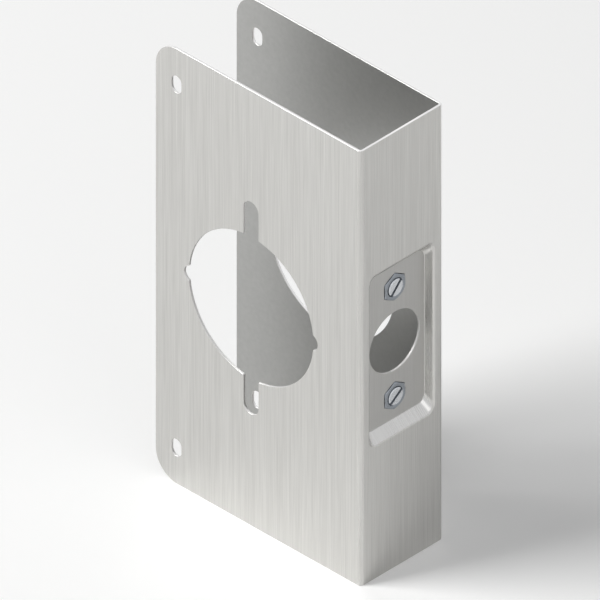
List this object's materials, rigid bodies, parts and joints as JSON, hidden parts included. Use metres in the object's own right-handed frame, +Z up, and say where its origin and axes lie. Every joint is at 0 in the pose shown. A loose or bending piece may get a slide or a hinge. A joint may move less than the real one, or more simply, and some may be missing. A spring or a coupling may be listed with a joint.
{
  "type": "door reinforcer plate",
  "caption": "Sheet folded round a door's edge, with a lock bore through both flanges and a pressed latch pocket holding insert nuts and slotted screws.",
  "frame": {"origin": "on the lock bore's axis, halfway between the flanges, at half the plate's height", "axes": "+X out of the door's edge, +Y through the door from the near flange to the far one, +Z up"},
  "size_m": [0.0889, 0.0368, 0.165],
  "materials": {
    "plate_sheet": "satin brushed stainless sheet",
    "nut_steel": "bright zinc plate",
    "screw_steel": "bright zinc plate"
  },
  "bodies": {
    "root": {"reinforcer_plate": "plate_sheet", "upper_insert_nut": "nut_steel", "lower_insert_nut": "nut_steel", "upper_latch_screw": "screw_steel", "lower_latch_screw": "screw_steel"}
  },
  "joints": []
}
